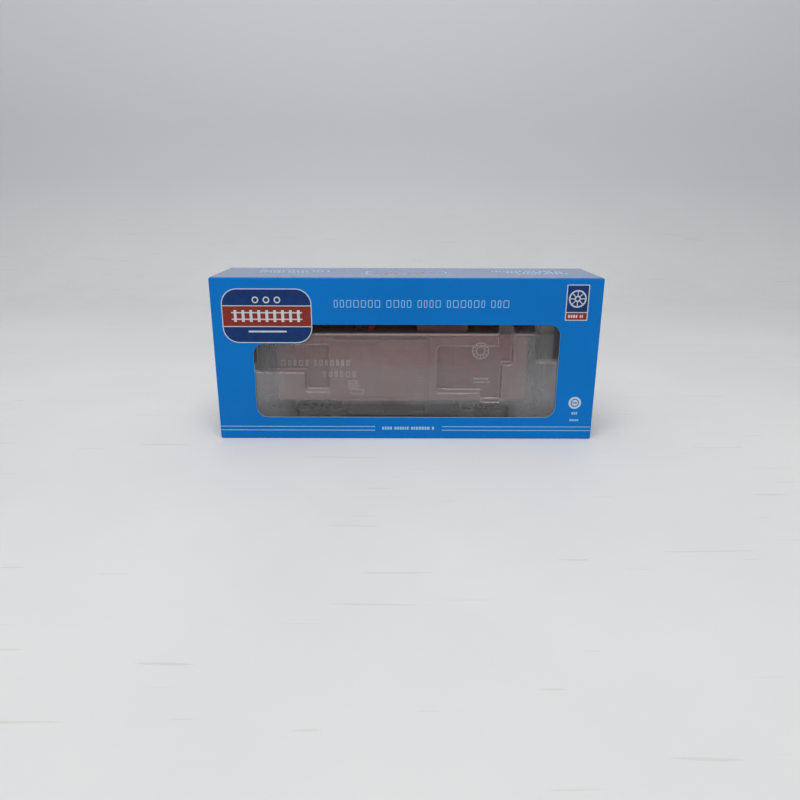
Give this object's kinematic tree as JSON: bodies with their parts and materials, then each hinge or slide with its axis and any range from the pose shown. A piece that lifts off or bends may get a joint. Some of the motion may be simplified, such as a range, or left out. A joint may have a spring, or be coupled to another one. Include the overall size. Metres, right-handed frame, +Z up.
{
  "type": "model caboose",
  "caption": "Boxed HO scale model caboose: side-door caboose with cupola, end platforms, trucks and couplers, in a clear blister inside a windowed card carton with tuck-in end flaps.",
  "frame": {"origin": "centre of the carton's underside", "axes": "+X along the carton and the car, +Y from the window side to the back, +Z up"},
  "size_m": [0.222, 0.052, 0.096],
  "materials": {
    "printed_card": "card printed blue outside under a gloss coat, white inside",
    "clear_sheet": "clear vacuum-formed sheet",
    "car_brown": "satin oxide-brown paint on moulded plastic",
    "glazing": "clear moulded glazing",
    "vent_red": "red paint",
    "black_plastic": "moulded black plastic",
    "black_wire": "formed wire, painted black",
    "coupler_metal": "blackened cast metal",
    "wheel_metal": "turned metal, darkened plate and bright tread",
    "axle_steel": "drawn steel",
    "screw_steel": "plated steel",
    "ballast_steel": "plain steel strip",
    "red_lens": "clear red plastic"
  },
  "bodies": {
    "boxed_car": {"air_reservoir": "black_plastic", "ballast_weight": "ballast_steel", "battery_box": "black_plastic", "blister_back": "clear_sheet", "blister_front": "clear_sheet", "body_shell": "car_brown", "brake_cylinder": "black_plastic", "carton_back_panel": "printed_card", "carton_bottom_panel": "printed_card", "carton_front_panel": "printed_card", "carton_top_panel": "printed_card", "coupler_box_left": "black_plastic", "coupler_box_right": "black_plastic", "cupola_glazing": "glazing", "cupola_roof": "car_brown", "cupola_shell": "car_brown", "door_tracks": "car_brown", "end_door_glazing": "glazing", "end_doors": "car_brown", "end_ladders": "black_wire", "end_platform_left": "black_plastic", "end_platform_right": "black_plastic", "end_railings": "black_wire", "grab_irons": "car_brown", "marker_lamps": "black_plastic", "marker_lenses": "red_lens", "roof": "car_brown", "roof_vent": "vent_red", "roof_walks": "car_brown", "smokejack": "black_plastic", "tool_box": "black_plastic", "truck_screws": "screw_steel", "underframe": "black_plastic"},
    "end_flap_left_body": {"end_flap_left": "printed_card"},
    "end_flap_right_body": {"end_flap_right": "printed_card"},
    "dust_flap_left_top_body": {"dust_flap_left_top": "printed_card"},
    "dust_flap_left_bottom_body": {"dust_flap_left_bottom": "printed_card"},
    "dust_flap_right_top_body": {"dust_flap_right_top": "printed_card"},
    "dust_flap_right_bottom_body": {"dust_flap_right_bottom": "printed_card"},
    "side_door_front_body": {"side_door_front": "car_brown"},
    "side_door_back_body": {"side_door_back": "car_brown"},
    "truck_left": {"truck_frame_left": "black_plastic"},
    "truck_right": {"truck_frame_right": "black_plastic"},
    "wheelset_1": {"axle_1": "axle_steel", "wheels_1": "wheel_metal"},
    "wheelset_2": {"axle_2": "axle_steel", "wheels_2": "wheel_metal"},
    "wheelset_3": {"axle_3": "axle_steel", "wheels_3": "wheel_metal"},
    "wheelset_4": {"axle_4": "axle_steel", "wheels_4": "wheel_metal"},
    "coupler_left_body": {"coupler_left": "coupler_metal", "trip_pin_left": "black_wire"},
    "coupler_right_body": {"coupler_right": "coupler_metal", "trip_pin_right": "black_wire"},
    "knuckle_left_body": {"knuckle_left": "coupler_metal"},
    "knuckle_right_body": {"knuckle_right": "coupler_metal"},
    "brake_wheel_left_body": {"brake_wheel_left": "black_plastic"},
    "brake_wheel_right_body": {"brake_wheel_right": "black_plastic"}
  },
  "joints": [
    {"name": "end_flap_left_fold", "type": "hinge", "parent": "boxed_car", "child": "end_flap_left_body", "pos_m": [-0.111, 0.0259, 0.048], "axis": [0, 0, -1], "range_deg": [0, 150]},
    {"name": "end_flap_right_fold", "type": "hinge", "parent": "boxed_car", "child": "end_flap_right_body", "pos_m": [0.111, 0.0259, 0.048], "axis": [0, 0, 1], "range_deg": [0, 150]},
    {"name": "dust_flap_left_top_fold", "type": "hinge", "parent": "boxed_car", "child": "dust_flap_left_top_body", "pos_m": [-0.1104, 0, 0.09535], "axis": [0, 1, 0], "range_deg": [0, 90]},
    {"name": "dust_flap_left_bottom_fold", "type": "hinge", "parent": "boxed_car", "child": "dust_flap_left_bottom_body", "pos_m": [-0.1104, 0, 0.00065], "axis": [0, -1, 0], "range_deg": [0, 90]},
    {"name": "dust_flap_right_top_fold", "type": "hinge", "parent": "boxed_car", "child": "dust_flap_right_top_body", "pos_m": [0.1104, 0, 0.09535], "axis": [0, -1, 0], "range_deg": [0, 90]},
    {"name": "dust_flap_right_bottom_fold", "type": "hinge", "parent": "boxed_car", "child": "dust_flap_right_bottom_body", "pos_m": [0.1104, 0, 0.00065], "axis": [0, 1, 0], "range_deg": [0, 90]},
    {"name": "side_door_front_slide", "type": "slide", "parent": "boxed_car", "child": "side_door_front_body", "axis": [-1, 0, 0], "range_m": [0, 0.0255]},
    {"name": "side_door_back_slide", "type": "slide", "parent": "boxed_car", "child": "side_door_back_body", "axis": [-1, 0, 0], "range_m": [0, 0.0255]},
    {"name": "truck_left_swivel", "type": "hinge", "parent": "boxed_car", "child": "truck_left", "pos_m": [-0.053, 0, 0.0174], "axis": [0, 0, 1], "range_deg": [-6, 6]},
    {"name": "truck_right_swivel", "type": "hinge", "parent": "boxed_car", "child": "truck_right", "pos_m": [0.048, 0, 0.0174], "axis": [0, 0, 1], "range_deg": [-6, 6]},
    {"name": "wheelset_1_spin", "type": "hinge", "parent": "truck_left", "child": "wheelset_1", "pos_m": [-0.0629, 0, 0.01675], "axis": [0, 1, 0], "continuous": true},
    {"name": "wheelset_2_spin", "type": "hinge", "parent": "truck_left", "child": "wheelset_2", "pos_m": [-0.0431, 0, 0.01675], "axis": [0, 1, 0], "continuous": true},
    {"name": "wheelset_3_spin", "type": "hinge", "parent": "truck_right", "child": "wheelset_3", "pos_m": [0.0381, 0, 0.01675], "axis": [0, 1, 0], "continuous": true},
    {"name": "wheelset_4_spin", "type": "hinge", "parent": "truck_right", "child": "wheelset_4", "pos_m": [0.0579, 0, 0.01675], "axis": [0, 1, 0], "continuous": true},
    {"name": "coupler_left_swing", "type": "hinge", "parent": "boxed_car", "child": "coupler_left_body", "pos_m": [-0.0797, 0, 0.0219], "axis": [0, 0, 1], "range_deg": [-10, 10]},
    {"name": "coupler_right_swing", "type": "hinge", "parent": "boxed_car", "child": "coupler_right_body", "pos_m": [0.0747, 0, 0.0219], "axis": [0, 0, 1], "range_deg": [-10, 10]},
    {"name": "knuckle_left_open", "type": "hinge", "parent": "coupler_left_body", "child": "knuckle_left_body", "pos_m": [-0.0893, -0.0019, 0.0219], "axis": [0, 0, 1], "range_deg": [0, 40]},
    {"name": "knuckle_right_open", "type": "hinge", "parent": "coupler_right_body", "child": "knuckle_right_body", "pos_m": [0.0843, 0.0019, 0.0219], "axis": [0, 0, 1], "range_deg": [0, 40]},
    {"name": "brake_wheel_left_spin", "type": "hinge", "parent": "boxed_car", "child": "brake_wheel_left_body", "pos_m": [-0.0809, 0.008, 0.0366], "axis": [0, 0, 1], "continuous": true},
    {"name": "brake_wheel_right_spin", "type": "hinge", "parent": "boxed_car", "child": "brake_wheel_right_body", "pos_m": [0.0759, -0.008, 0.0366], "axis": [0, 0, 1], "continuous": true}
  ],
  "couplings": [
    {"joint": "dust_flap_left_top_fold", "follows": "end_flap_left_fold", "ratio": 0.6},
    {"joint": "dust_flap_left_bottom_fold", "follows": "end_flap_left_fold", "ratio": 0.6},
    {"joint": "dust_flap_right_top_fold", "follows": "end_flap_right_fold", "ratio": 0.6},
    {"joint": "dust_flap_right_bottom_fold", "follows": "end_flap_right_fold", "ratio": 0.6}
  ]
}
